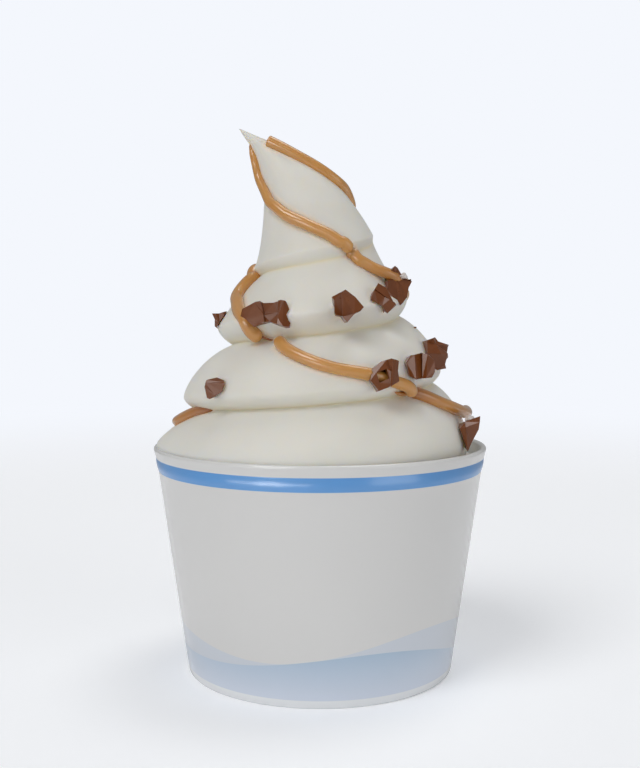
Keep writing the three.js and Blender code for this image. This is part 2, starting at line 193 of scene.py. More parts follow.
# Leaning peak, from its foot to its tip: left edge X, Z and right edge X, Z
PEAK = (
    (0, -16.2, 133.7, 10.2, 133.7),
    (0.2, -16, 137.6, 6.6, 138.4),
    (0.4, -16.9, 141.8, 2.4, 142.4),
    (0.6, -17.9, 146, -3.7, 146.6),
    (0.8, -19.6, 150.6, -10.9, 150.9),
    (0.93, -21.9, 153.9, -18.6, 154.2),
    (1, -23.3, 156.2, -23.3, 156.2),
)
PEAK_DEPTH = 0.96

# Parts that the swirl is divided into: round it, under and over each lip, and up the peak. The
# parts over a lip grow from it by a power
SWIRL_SIDES = 320
UNDER_STEPS = 8
UPPER_STEPS = 24
UPPER_GROWTH = 1.15
PEAK_RINGS = 32

# Passes that ease the creases, and the height where the sharp tip begins
SOFTENING = 14
TIP_BOTTOM = 150

# Caramel: its rope's radius, how far it sinks in, the passes that pull it slack, and the share
# of the squared radius that is left at a rope's very end
CARAMEL_RADIUS = 1.6
SINK = 0.25
SLACK = 20
END_LEFT = 0.01

# Ripples of a rope's radius: share of the radius, and millimetres along the rope for a radian.
# They start at this radian
RIPPLES = ((0.03, 4.3), (0.02, 2.3))
RIPPLE_START = 1

# Parts of a rope between two rows of its table, round it and at each rounded end, then the least
# number of rings between its ends, and their spacing
ROW_SAMPLES = 24
ROPE_SIDES = 24
END_RINGS = 8
MIN_RINGS = 3
RING_SPACING = 0.45

# A direction that no rope starts along, and the step, in turns and coils, that measures slopes
ROPE_ASIDE = (0.3, 0.2, 1)
SLOPE_STEP = 0.003

# Stretches that the two strands break into. Each row: turns from the left side, coils up, how
# far the middle is raised off the yogurt, and how dark the caramel is: thick in a crease, and
# painted shade where it runs under a lip or a chunk
PEAK_CARAMEL = (
    (0.043, 4.84, 0.3, 0.4),
    (0.001, 4.788, 0.5, 0.2),
    (0.025, 4.71, 0.8, 0),
    (0.016, 4.514, 0.9, 0),
    (0.029, 4.397, 0.9, 0),
    (0.053, 4.28, 0.9, 0),
    (0.107, 4.007, 0.9, 0),
    (0.159, 3.83, 0.9, 0),
    (0.231, 3.69, 0.9, 0),
    (0.286, 3.54, 0.9, 0),
    (0.308, 3.36, 0.9, 0),
    (0.324, 3.23, 1, 0),
    (0.336, 3.16, 1.2, 0.05),
)
ROUND_CARAMEL = (
    (0.327, 3.15, 0.4, 0.2),
    (0.343, 3.04, 0.7, 0.3),
    (0.35, 2.84, 1, 0.1),
    (0.366, 2.77, 1.1, 0),
    (0.384, 2.71, 1.3, 0.05),
    (0.412, 2.61, 2.9, 0.35),
    (0.451, 2.52, 2.9, 0.1),
    (0.495, 2.47, 0.5, 0),
    (0.6, 1.9, 0.9, 0),
    (0.72, 1.5, 0.9, 0),
    (0.82, 0.75, 0.9, 0),
    (0.9, 0.4, 0.9, 0),
    (0.972, -0.1, 0.9, 0),
    (1.015, -0.33, 0.9, 0.15),
    (1.055, -0.15, 0.9, 0.6),
    (1.09, -0.02, 0.9, 1),
)
BOW_CARAMEL = (
    (0.308, 4.83, 0.9, 0),
    (0.397, 4.57, 0.9, 0),
    (0.458, 4.29, 0.9, 0),
    (0.53, 4.16, 0.9, 0),
    (0.6, 3.88, 0.9, 0),
    (0.69, 3.35, 0.9, 0),
    (0.76, 2.85, 0.9, 0),
    (0.858, 2.6, 1.1, 0.2),
    (0.952, 2.31, 1.7, 0.15),
    (1.033, 1.72, 1.5, 0),
    (1.083, 1.55, 0.9, 0),
    (1.122, 1.38, 0.9, 0),
    (1.136, 1.18, 1, 0),
    (1.149, 1.115, 1.3, 0),
)
LINK_CARAMEL = (
    (1.142, 1.15, 0.9, 1),
    (1.162, 1.05, 0.9, 1),
    (1.178, 0.9, 0.9, 0.8),
)
FRONT_CARAMEL = (
    (1.183, 0.85, 0.9, 0),
    (1.205, 0.72, 0.9, 0),
    (1.256, 0.55, 0.9, 0),
    (1.318, 0.42, 0.9, 0),
    (1.358, 0.26, 1.1, 0),
    (1.37, 0.15, 1.5, 0),
)
SHRED_CARAMEL = (
    (1.343, 0.18, 0.5, 0.6),
    (1.352, 0.15, 0.6, 0.6),
    (1.366, 0.12, 0.6, 0.6),
)
LAST_CARAMEL = (
    (1.379, -0.06, 1.1, 0.8),
    (1.389, -0.14, 1.1, 0.6),
    (1.416, -0.29, 1.1, 0.2),
    (1.455, -0.41, 1.5, 0.3),
    (1.484, -0.46, 1.9, 0.4),
    (1.501, -0.46, 2, 0.6),
)

# For each: share of the radius at its start, middle and end, and how long its ends round off
STRETCHES = (
    ("caramel_peak", PEAK_CARAMEL, (0.75, 1, 1.1), (10, 1.6)),
    ("caramel_round_back", ROUND_CARAMEL, (1, 1, 0.9), (1.5, 4)),
    ("caramel_bow", BOW_CARAMEL, (1, 1, 1.25), (0.15, 1.8)),
    ("caramel_link", LINK_CARAMEL, (0.22, 0.16, 0.2), (0.3, 0.3)),
    ("caramel_front", FRONT_CARAMEL, (1.1, 1.02, 1.1), (1.5, 1.5)),
    ("caramel_shred", SHRED_CARAMEL, (0.15, 0.35, 0.45), (1.2, 0.4)),
    ("caramel_last", LAST_CARAMEL, (1.08, 1.05, 1.05), (1.5, 1.5)),
)

# Chunks built from their outlines: middle of the front, degrees round Z, degrees leaning back,
# depth, and the outline seen from the front
OUTLINED_CHUNKS = {
    "chocolate_chunk_3": ((7.3, -31.6, 105.1), 6, 12, 6, (
        (-4.2, 2.4), (-0.5, 4.4), (2, 2.4), (4.2, -0.3), (3.2, -1.4), (1.7, -2), (-0.3, -4.4),
        (-1.5, -2.8), (-3.3, -2.4), (-3.6, -1.7), (-3.6, 1.5),
    )),
    "chocolate_chunk_5": ((22.2, -13.3, 110.9), 26, 6, 6.5, (
        (-2.5, 4.2), (-1.3, 5.5), (-0.4, 4.9), (0.7, 3.1), (2.6, 1.6), (3.8, 1.9), (4, 1.2),
        (2.8, -0.7), (2.2, -3.2), (0, -5.5), (-1.1, -4.6), (-3.4, -4.1), (-4.1, -1.3), (-3.7, 1.2),
    )),
    "chocolate_chunk_6": ((32.9, -14.4, 92), 24, 0, 6.5, (
        (-3.5, 3.8), (-1.1, 4.6), (0, 3.4), (3.4, 2.4), (2.8, 0.3), (3.2, -1), (1.9, -2.6),
        (2.6, -4.2), (-0.3, -4.6), (-3.6, -3),
    )),
    "chocolate_chunk_7": ((26.6, -27.6, 89.2), 16, 4, 6.5, (
        (-3.9, 1), (-2.6, 2.9), (0.7, 3.5), (2.6, 2.9), (4.1, 1.4), (4.2, -1.6), (3.3, -3.1),
        (-1.5, -3.5), (-3, -2.7),
    )),
    "chocolate_chunk_10": ((41.2, -19, 70.2), 8, 0, 5, (
        (-2.9, 1.5), (-1.5, 3.3), (2.9, 4.8), (2.5, 1.1), (0.6, -2.4), (-0.7, -4.8),
    )),
}

# Lines that the front of each chunk breaks along, seen from the front and measured from its
# middle: start, end, and how far the line stands out
FOLDS = {
    "chocolate_chunk_1": (((-1, 2), (0.5, -2), 0.3),),
    "chocolate_chunk_2": (((-2.9, 3.4), (-0.6, 0.3), 0.45), ((3.9, 2), (3.3, -1), 0.35)),
    "chocolate_chunk_3": (((-1.8, 3), (-1.4, -3.4), -1.8), ((-1, 2.2), (1.6, -1.9), 1)),
    "chocolate_chunk_4": (((-1.1, 1.9), (3.4, -1.4), 1), ((-2.4, 2.2), (-1.2, -2), -0.3)),
    "chocolate_chunk_5": (((-3.5, 2.6), (3.8, 1.2), -2.2), ((-0.4, 0), (0.6, -4), 1.1)),
    "chocolate_chunk_6": (
        ((-1.5, 4), (1.9, -3), 1.3),
        ((-3, 0.2), (2.5, 0), 1.3),
        ((-3, 3), (3, 1.8), -1),
    ),
    "chocolate_chunk_7": (
        ((-1.6, 2), (-1.2, -3), 1.2),
        ((0.6, 2), (0.6, -3), -1.2),
        ((1.9, 2), (1.6, -3), 0.9),
    ),
    "chocolate_chunk_8": (((1.1, 3), (1, -3), 0.4), ((2.2, 3), (2, -3), 0.5)),
    "chocolate_chunk_9": (((-2.3, 1.5), (2.6, 1.4), 0.4),),
    "chocolate_chunk_10": (((-1.5, 2.6), (-0.7, -4.6), 1.3), ((-2.9, 1.5), (2, 3), 0.5)),
}

# Chunk with a hole through it, the hole's middle, its size and how much wider it is made
HOLED_CHUNK = "chocolate_chunk_8"
HOLE_MIDDLE = (16.2, -36, 87.1)
HOLE_REACH = 2.1
HOLE_WIDER = 1.45

# Backs of the chunks: their share of the front's size, which points are close to the yogurt, and
# how far those are pushed into it
BACK_SHARE = 0.75
EMBED_REACH = 0.6
EMBED_DEPTH = 0.9

# Edges of the chunks: the width that is broken off, the least bend in degrees that counts as an
# edge, and the bend up to which a CAD solid's triangles are one flat face
EDGE_WIDTH = 0.06
EDGE_BEND = 18
FLAT_BEND = 2

# Crumbs: name, place and half sizes. Each is the hull of random points, whose distance from its
# middle is at least a share of the half sizes
# Pale lumps. The lower one, on chunk 10's top, paints the white glint there: a painted highlight
# made solid
PALE_LUMPS = (
    ("crumb_upper", (23.4, -12.3, 113.5), (1.5, 1.3, 1.1)),
    ("crumb_lower", (40.9, -17.6, 74.3), (1.9, 1.4, 1)),
)
DARK_CRUMBS = (
    ("speck_shoulder", (27.1, -6.5, 99.2), (0.45, 0.4, 0.35)),
)
CRUMB_POINTS = 14
CRUMB_LEAST = 0.75

# Painted light: the yogurt is painted lighter and warmer this near to the caramel and to the
# chocolate, over the shade that they cast
CARAMEL_NEAR = 1.5
CHOCOLATE_NEAR = 1.2

# How far light spreads in the yogurt, and in its tip, which thins out between two heights
YOGURT_SPREAD = 4
TIP_SPREAD = 0.3
THIN_FROM = 140
THIN_TO = 152

# Power of the grooves' painted glow, and how strong the yogurt's soft lumps are beside its icy grain
GROOVE_GLOW_POWER = 1.6
LUMP_SHARE = 1.5

# Floor: half its size, the radii between which it fades into the surroundings, the glow that
# the camera sees on it, and how strong the far floor is as a light
FLOOR_HALF = 900
FLOOR_FADE = (300, 850)
FLOOR_GLOW = 0.17
FAR_GLOW = 0.35

# Strength of the room's own light
ROOM_LIGHT = 0.3

# Suns: name, the direction that it shines from, strength, and its softness in degrees
SUNS = (
    ("key", (-0.45, -0.5, 0.8), 0.9, 28),
    ("back", (0.26, 0.26, 1.1), 0.52, 26),
    ("fill", (0.75, -0.6, 0.1), 0.42, 36),
    ("low", (-0.55, -0.83, 0.03), 0.38, 22),
    ("spark", (0.05, -0.8, 0.6), 0.08, 12),
)

# Long low softbox at the front left: its size, the height that it is aimed at, the direction and
# distance from there, and its power
STREAK_SIZE = (1300, 160)
STREAK_AIM = 80
STREAK_DIRECTION = (-0.56, -0.83, 0.03)
STREAK_DISTANCE = 1200
STREAK_POWER = 2

# Sockets of a Mix node that mixes colours
MIX_FACTOR = 0
MIX_FIRST = 6
MIX_SECOND = 7
MIX_RESULT = 2


# Colours

def linear(red, green, blue):
    """Colour from its 0 to 255 values on screen, by the sRGB curve."""
    def channel(value):
        value /= 255
        return value / 12.92 if value <= 0.04045 else ((value + 0.055) / 1.055) ** 2.4
    return channel(red), channel(green), channel(blue), 1


# Two shades that mottle each food and the pale lumps, of which one is a painted highlight
YOGURT_SHADES = (linear(226, 223, 214), linear(233, 231, 223))
CARAMEL_SHADES = (linear(197, 136, 58), linear(211, 153, 76))
CHOCOLATE_SHADES = (linear(104, 52, 16), linear(124, 68, 28))
# Shades of the pale lumps, one of which is a painted highlight
PALE_LUMP_SHADES = (linear(196, 184, 178), linear(232, 226, 222))

# Painted light: the grooves are painted lighter and warmer, lifting the shade that falls in them
GROOVE_GLOW_COLOR = linear(240, 232, 206)
# Painted light beside the caramel and the chocolate, over the shade that they cast on the yogurt
LIT_BY_CARAMEL_COLOR = linear(255, 236, 212)
LIT_BY_CHOCOLATE_COLOR = linear(255, 248, 238)
# Darker caramel: thick in creases, and painted shade where it runs under a lip or a chunk
THICK_SHADED_CARAMEL_COLOR = linear(152, 80, 3)
CARD_COLOR = linear(223, 222, 220)
STRIP_COLOR = linear(240, 242, 244)
BAND_COLOR = linear(93, 159, 225)
BACK_WAVE_COLOR = linear(210, 216, 225)
FRONT_WAVE_COLORS = (linear(216, 224, 238), linear(172, 195, 217))
FLOOR_COLOR = linear(252, 253, 255)
BACKDROP = linear(244, 247, 253)
ROOM_COLOR = (0.98, 0.99, 1, 1)


# Curves and meshes

def along(table, x, column):
    """Smooth curve through a table's rows, read at x (a number or an array) in its first column."""
    rows = np.array(table, float)
    keys, values = rows[:, 0], rows[:, column]
    at = np.clip(np.asarray(x, float), keys[0], keys[-1])
    slopes = np.empty_like(values)
    slopes[1:-1] = (values[2:] - values[:-2]) / (keys[2:] - keys[:-2])
    slopes[0] = (values[1] - values[0]) / (keys[1] - keys[0])
    slopes[-1] = (values[-1] - values[-2]) / (keys[-1] - keys[-2])
    row = np.clip(np.searchsorted(keys, at, side="right") - 1, 0, len(keys) - 2)
    gap = keys[row + 1] - keys[row]
    part = (at - keys[row]) / gap
    level = values[row] + (values[row + 1] - values[row]) * (3 * part**2 - 2 * part**3)
    leaving = (part**3 - 2 * part**2 + part) * slopes[row]
    reaching = (part**3 - part**2) * slopes[row + 1]
    return level + gap * (leaving + reaching)


def around(turn, radius, height):
    """Points at a radius and height, the given number of turns round from the left side."""
    angle = math.pi + TAU * np.asarray(turn, float)
    height = np.broadcast_to(height, angle.shape)
    return np.stack([radius * np.cos(angle), radius * np.sin(angle), height], axis=-1)


def add_object(name, data):
    made = bpy.data.objects.new(name, data)
    bpy.context.scene.collection.objects.link(made)
    return made


def make_piece(name, points, faces, material):
    """Smooth mesh object from points in millimetres."""
    mesh = bpy.data.meshes.new(name)
    mesh.from_pydata([tuple(p) for p in np.asarray(points) * MM], [], faces)
    mesh.validate()
    mesh.materials.append(material)
    clean_mesh(mesh)
    return add_object(name, mesh)


def clean_mesh(mesh):
    """Doubled points joined, empty faces dropped and all faces turned outwards."""
    work = bmesh.new()
    work.from_mesh(mesh)
    bmesh.ops.remove_doubles(work, verts=work.verts, dist=SAME_POINT)
    bmesh.ops.dissolve_degenerate(work, edges=work.edges, dist=SAME_POINT)
    bmesh.ops.recalc_face_normals(work, faces=work.faces)
    for face in work.faces:
        face.smooth = True
    work.to_mesh(mesh)
    work.free()
    mesh.update()


def grid_faces(rows, width, closed=False):
    """Faces between the rows of a grid; each row's last point joins its first where closed."""
    faces = []
    for r in range(rows - 1):
        for i in range(width if closed else width - 1):
            j = (i + 1) % width
            faces.append((r * width + i, r * width + j, (r + 1) * width + j, (r + 1) * width + i))
    return faces


def surface_tree(piece):
    """Tree of a piece's surface, which finds the nearest place on it."""
    work = bmesh.new()
    work.from_mesh(piece.data)
    tree = BVHTree.FromBMesh(work)
    work.free()
    return tree


def keep_values(piece, name, values):
    """One number for each point of a piece, as an attribute that a material reads."""
    layer = piece.data.attributes.new(name, "FLOAT", "POINT")
    layer.data.foreach_set("value", values)


# Swirl

def peak_point(turn, rise):
    """Leaning peak: tilted ovals that shrink to the tip."""
    turn, rise = np.broadcast_arrays(np.asarray(turn, float), np.asarray(rise, float))
    left_x, left_z, right_x, right_z = (along(PEAK, rise, column) for column in (1, 2, 3, 4))
    half_x, half_z = (right_x - left_x) / 2, (right_z - left_z) / 2
    angle = math.pi + TAU * turn
    across = np.hypot(half_x, half_z) * PEAK_DEPTH
    x = (left_x + right_x) / 2 + half_x * np.cos(angle)
    z = (left_z + right_z) / 2 + half_z * np.cos(angle)
    return np.stack([x, across * np.sin(angle), z], axis=-1)


def groove_point(turn):
    """Bottom of the groove; past the last coil it is the foot of the peak."""
    low = around(turn, along(GROOVE, turn, 1), along(GROOVE, turn, 2))
    return np.where((turn > COILS)[..., None], peak_point(turn, 0), low)


def coil_point(turn, part):
    """Side of a coil, from the groove below it (0) over its lip to the groove above it (1)."""
    turn, part = np.broadcast_arrays(np.asarray(turn, float), np.asarray(part, float))
    below = part < UNDERSIDE
    lip = around(turn, along(LIP, turn, 1), along(LIP, turn, 2))
    groove = np.where(below[..., None], groove_point(turn), groove_point(turn + 1))
    power = 2 / np.where(below, UNDERSIDE_ROUND, along(FULLNESS, turn, 1))
    share = np.where(below, part / UNDERSIDE, 1 - (part - UNDERSIDE) / (1 - UNDERSIDE))
    share = np.clip(share, 0, 1) * math.pi / 2
    out = np.abs(np.sin(share)) ** power
    up = np.abs(np.cos(share)) ** power
    flat = groove[..., :2] + (lip[..., :2] - groove[..., :2]) * out[..., None]
    height = lip[..., 2] + (groove[..., 2] - lip[..., 2]) * up
    return np.concatenate([flat, height[..., None]], axis=-1)


def swirl_point(turn, level):
    """Whole swirl: turns from the left side, and coils up, the peak above the last coil."""
    turn, level = np.broadcast_arrays(np.asarray(turn, float), np.asarray(level, float))
    coil = np.floor(level)
    side = coil_point(turn + coil, level - coil)
    peak = peak_point(turn, np.clip(level - COILS, 0, 1))
    return np.where((level >= COILS)[..., None], peak, side)


def fill_rows(turns):
    """Rows of the fill's bottom and side, inside the cup."""
    floor = RECESS + PAPER + GAP
    inside = WALL + GAP
    return [
        around(turns, FILL_MIDDLE, floor),
        around(turns, wall_radius(floor) - inside - FILL_EDGE, floor),
        around(turns, wall_radius(floor + FILL_EDGE) - inside, floor + FILL_EDGE),
        around(turns, wall_radius(FILL_TOP) - inside, FILL_TOP),
    ]


def coil_rows(turns):
    """Rows of all coils, each ending where the next coil's starts, and their groove depths."""
    under = UNDERSIDE * np.linspace(0, 1, UNDER_STEPS, endpoint=False)
    over = np.linspace(0, 1, UPPER_STEPS, endpoint=False) ** UPPER_GROWTH
    parts = np.concatenate([under, UNDERSIDE + (1 - UNDERSIDE) * over])
    rows, depths = [], []
    for coil in range(FIRST_COIL, COILS):
        for part in parts:
            below = max(0, 1 - part / FADE_BELOW) if coil > FIRST_COIL else 0
            above = max(0, 1 - (1 - part) / FADE_ABOVE) if coil < COILS - 1 else 0
            rows.append(coil_point(turns + coil, part))
            depths.append(below + above)
    return rows, depths


def make_swirl(material):
    """Fill, coils and peak as one closed mesh, with how deep each point lies in a groove."""
    turns = np.linspace(0, 1, SWIRL_SIDES + 1)
    fill = fill_rows(turns)
    coils, depths = coil_rows(turns)
    peak = [peak_point(turns, rise) for rise in np.linspace(0, 1, PEAK_RINGS)]
    rows = [*fill, *coils, *peak]
    depths = [0] * len(fill) + depths + [0] * len(peak)
    points = np.concatenate(rows)
    faces = grid_faces(len(rows), len(turns))
    faces.append(tuple(reversed(range(SWIRL_SIDES))))
    piece = make_piece("yogurt", points, faces, material)
    keep_depth(piece, points, np.repeat(depths, len(turns)))
    soften(piece)
    return piece


def keep_depth(piece, points, depths):
    """The groove depth of each point. Points that were joined keep the greater depth."""
    deepest = {}
    for point, depth in zip(points, depths):
        key = place_key(point)
        deepest[key] = max(deepest.get(key, 0), float(depth))
    places = [place_key(np.array(vertex.co) / MM) for vertex in piece.data.vertices]
    keep_values(piece, "groove", [deepest.get(place, 0) for place in places])


def place_key(point):
    """A point's place to a hundredth of a millimetre."""
    return tuple(np.round(point, 2))


def soften(piece):
    """Creases between the coils and under the peak eased, all but the tip and what the cup hides."""
    work = bmesh.new()
    work.from_mesh(piece.data)
    eased = [v for v in work.verts if CUP_HEIGHT < v.co.z / MM < TIP_BOTTOM]
    axes = {"use_axis_x": True, "use_axis_y": True, "use_axis_z": True}
    for _ in range(SOFTENING):
        bmesh.ops.smooth_vert(work, verts=eased, factor=EASE, **axes)
    work.to_mesh(piece.data)
    work.free()


def keep_near(piece, name, others, reach):
    """How near each point lies to other pieces, from 1 where it touches to 0 at the reach."""
    values = np.zeros(len(piece.data.vertices))
    for other in others:
        tree = surface_tree(other)
        for i, vertex in enumerate(piece.data.vertices):
            distance = tree.find_nearest(vertex.co, reach * MM)[3]
            if distance is not None:
                values[i] = max(values[i], 1 - distance / (reach * MM))
    keep_values(piece, name, values)


# Caramel

def caramel_path(table):
    """Rope through a stretch's rows, slack over grooves: places, lengths and how dark it is."""
    keyed = [(i, *row) for i, row in enumerate(table)]
    steps = np.linspace(0, len(table) - 1, ROW_SAMPLES * (len(table) - 1) + 1)
    turn, level, raised, dark = (along(keyed, steps, column) for column in (1, 2, 3, 4))
    aside = swirl_point(turn + SLOPE_STEP, level) - swirl_point(turn - SLOPE_STEP, level)
    up = swirl_point(turn, level + SLOPE_STEP) - swirl_point(turn, level - SLOPE_STEP)
    out = np.cross(aside, up)
    out /= np.linalg.norm(out, axis=1)[:, None]
    path = swirl_point(turn, level) + out * (raised - SINK)[:, None]
    for _ in range(SLACK):
        path[1:-1] += EASE * ((path[:-2] + path[2:]) / 2 - path[1:-1])
    spans = np.linalg.norm(np.diff(path, axis=0), axis=1)
    return path, np.concatenate([[0], np.cumsum(spans)]), dark


def ring_places(length, reaches):
    """Places of a stretch's rings: close together where its ends are rounded."""
    bend = 1 - np.cos(np.linspace(0, math.pi / 2, END_RINGS + 1))
    start, end = reaches
    rings = max(MIN_RINGS, int((length - start - end) / RING_SPACING))
    middle = np.linspace(start, length - end, rings)
    return np.concatenate([bend[:-1] * start, middle, length - bend[::-1][1:] * end])


def ring_radii(at, sizes, reaches):
    """Radius at each ring of a stretch: its sizes along it, its ripples and its rounded ends."""
    radii = CARAMEL_RADIUS * np.interp(at / at[-1], (0, 0.5, 1), sizes)
    radii *= 1 + sum(share * np.sin(at / length + RIPPLE_START) for share, length in RIPPLES)
    for reach, distance in zip(reaches, (at, at[-1] - at)):
        rounding = 1 - np.clip(distance / reach, 0, 1)
        radii *= np.sqrt(np.clip(1 - rounding ** 2, END_LEFT, 1))
    return radii


def make_stretch(name, table, sizes, reaches, material):
    path, lengths, dark = caramel_path(table)
    at = ring_places(lengths[-1], reaches)
    centres = np.stack([np.interp(at, lengths, path[:, axis]) for axis in range(3)], axis=1)
    piece = make_rope(name, centres, ring_radii(at, sizes, reaches), material)
    keep_dark(piece, centres, np.interp(at, lengths, dark))
    return piece


def keep_dark(piece, centres, darks):
    """How dark the caramel is at each point, which is that of the nearest ring."""
    points = np.array([tuple(v.co) for v in piece.data.vertices]) / MM
    nearest = [int(np.argmin(((centres - point) ** 2).sum(axis=1))) for point in points]
    keep_values(piece, "dark", np.clip(darks[nearest], 0, 1))


def make_rope(name, centres, radii, material):
    """Rope along a path, its ends closed, with no twist between its rings."""
    tangents = np.gradient(centres, axis=0)
    tangents /= np.linalg.norm(tangents, axis=1)[:, None]
    angles = np.linspace(0, TAU, ROPE_SIDES, endpoint=False)[:, None]
    normal = np.cross(tangents[0], ROPE_ASIDE)
    rings = []
    for centre, tangent, radius in zip(centres, tangents, radii):
        normal = normal - tangent * np.dot(normal, tangent)
        normal /= np.linalg.norm(normal)
        side = np.cross(tangent, normal)
        rings.append(centre + radius * (np.cos(angles) * normal + np.sin(angles) * side))
    faces = grid_faces(len(rings), ROPE_SIDES, closed=True)
    last = (len(rings) - 1) * ROPE_SIDES
    faces.append(tuple(reversed(range(ROPE_SIDES))))
    faces.append(tuple(range(last, last + ROPE_SIDES)))
    return make_piece(name, np.concatenate(rings), faces, material)


def make_caramel(material):
    """All stretches of the two strands."""
    pieces = [make_stretch(*stretch, material) for stretch in STRETCHES]
    for piece in pieces:
        ride(piece, "caramel", "yogurt_swirl")
    return pieces


# Cup

def wall_radius(height):
    """Radius of the wall's outer face, which tapers up to the band and less over it."""
    if height < BAND_BOTTOM:
        return FOOT_RADIUS + (BAND_BOTTOM_RADIUS - FOOT_RADIUS) * height / BAND_BOTTOM
    share = (height - BAND_BOTTOM) / (BAND_TOP - BAND_BOTTOM)
    return BAND_BOTTOM_RADIUS + (BAND_TOP_RADIUS - BAND_BOTTOM_RADIUS) * share


def is_outside(radius, height):
    """Whether a point of the cup is on the wall's outer face."""
    return radius > wall_radius(height) - OUTER_SKIN


def arc(radius, height, size, start, end, steps):
    """Points of a round in the outline, from one angle in degrees to another."""
    angles = np.radians(np.linspace(start, end, steps + 1))
    return [(radius + size * math.cos(a), height + size * math.sin(a)) for a in angles]


def turned(name, outline, material, seam=False):
    """Body turned round the Z axis; with a seam, the outer face steps out over a strip."""
    angles = np.radians(np.linspace(0, 360, CUP_SIDES, endpoint=False))
    rings = []
    for radius, height in outline:
        radii = np.full(CUP_SIDES, float(radius))
        if seam and is_outside(radius, height) and height < SEAM_TOP:
            radii += seam_step(angles, radius)
        heights = np.full(CUP_SIDES, height)
        rings.append(np.stack([radii * np.sin(angles), -radii * np.cos(angles), heights], axis=1))
    faces = grid_faces(len(rings), CUP_SIDES, closed=True)
    last = (len(rings) - 1) * CUP_SIDES
    for i in range(CUP_SIDES):
        j = (i + 1) % CUP_SIDES
        faces.append((last + i, last + j, j, i))
    piece = make_piece(name, np.concatenate(rings), faces, material)
    keep_outside(piece)
    return piece


def keep_outside(piece):
    """1 on the outer face of the wall, where the print is, and 0 elsewhere."""
    places = [vertex.co / MM for vertex in piece.data.vertices]
    keep_values(piece, "outside", [float(is_outside(math.hypot(x, y), z)) for x, y, z in places])


def seam_step(angles, radius):
    """Paper overlap: it rises slowly and ends in one sharp step."""
    offset = (np.degrees(angles) - SEAM_ANGLE) * math.radians(1) * radius
    inside = (offset > 0) & (offset < SEAM_WIDTH)
    return np.where(inside, SEAM_STEP * (SEAM_START + (1 - SEAM_START) * offset / SEAM_WIDTH), 0)


def band_outline():
    """Raised band, which swells most at the middle of its height."""
    points = []
    for share in np.linspace(0, 1, BAND_STEPS + 1)[1:]:
        height = BAND_BOTTOM + (BAND_TOP - BAND_BOTTOM) * share
        swell = BAND_SWELL * 4 * share * (1 - share)
        points.append((wall_radius(height) + swell, height))
    return points


def cup_outline():
    """Wall from the foot up its outer face, over the rim and down inside to the foot's fold."""
    fold = FOOT_RADIUS - WALL - PAPER - SKIRT_PLAY
    rim_middle = CUP_HEIGHT - RIM_BEAD
    return [
        *arc(FOOT_RADIUS - FOOT_ROUND, FOOT_ROUND, FOOT_ROUND, -90, 0, FOOT_STEPS)[:-1],
        *((wall_radius(h), h) for h in np.linspace(FOOT_ROUND, BAND_BOTTOM, WALL_STEPS + 1)),
        *band_outline(),
        *arc(RIM_RADIUS - RIM_BEAD, rim_middle, RIM_BEAD, BEAD_START, BEAD_END, BEAD_STEPS),
        (wall_radius(RIM_NECK) - WALL, RIM_NECK),
        (wall_radius(FOLD_HEIGHT) - WALL, FOLD_HEIGHT),
        (wall_radius(FOLD_BOTTOM) - WALL, FOLD_BOTTOM),
        (fold, FOLD_BOTTOM),
        (fold, FOLD_HEIGHT),
        (fold - PAPER, FOLD_HEIGHT),
        (fold - PAPER, FOOT_ROUND),
        (fold - PAPER + FOOT_ROUND, 0),
    ]


def base_outline():
    """Base with the skirt that hangs down from its edge into the foot's fold."""
    low = FOLD_BOTTOM + GAP
    edge = wall_radius(low) - WALL - GAP
    top = RECESS + PAPER
    return [
        (AXIS_GAP, RECESS),
        (edge - PAPER, RECESS),
        (edge - PAPER, low),
        (edge, low),
        (edge, top - BASE_CHAMFER),
        (edge - BASE_CHAMFER, top),
        (AXIS_GAP, top),
    ]


def make_cup(card):
    ride(turned("cup_wall_piece", cup_outline(), card, seam=True), "cup_card", "cup_wall")
    ride(turned("cup_base_piece", base_outline(), card), "cup_card", "cup_base")


# Chocolate

def make_chunk(name, swirl_tree, material):
    """Chunk of its solid's form, its front broken into facets, its back set in the yogurt."""
    work = bmesh.new()
    if name in OUTLINED_CHUNKS:
        middle = extrude_chunk(work, *OUTLINED_CHUNKS[name])
    else:
        middle = copy_chunk(work, name)
    for start, end, out in FOLDS[name]:
        fold_front(work, middle, start, end, out)
    if name == HOLED_CHUNK:
        widen_hole(work)
    bmesh.ops.triangulate(work, faces=work.faces)
    embed(work, middle, swirl_tree)
    mesh = bpy.data.meshes.new(name + "_piece")
    mesh.materials.append(material)
    for face in work.faces:
        face.smooth = False
    work.to_mesh(mesh)
    work.free()
    piece = add_object(mesh.name, mesh)
    break_edges(piece)
    return piece


def break_edges(piece):
    bevel = piece.modifiers.new("edges", "BEVEL")
    bevel.width = EDGE_WIDTH * MM
    bevel.segments = 1
    bevel.limit_method = "ANGLE"
    bevel.angle_limit = math.radians(EDGE_BEND)


def copy_chunk(work, name):
    """Chunk from its CAD node, narrower at the back; gives its middle."""
    flat = math.radians(FLAT_BEND)
    work.from_mesh(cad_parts[name].data)
    bmesh.ops.remove_doubles(work, verts=work.verts, dist=SAME_CAD_POINT)
    bmesh.ops.dissolve_limit(work, angle_limit=flat, verts=work.verts, edges=work.edges)
    low = Vector([min(v.co[axis] for v in work.verts) for axis in range(3)])
    high = Vector([max(v.co[axis] for v in work.verts) for axis in range(3)])
    middle = (low + high) / 2
    for vertex in work.verts:
        if vertex.co.y > middle.y:
            vertex.co.x = middle.x + (vertex.co.x - middle.x) * BACK_SHARE
            vertex.co.z = middle.z + (vertex.co.z - middle.z) * BACK_SHARE
    return middle


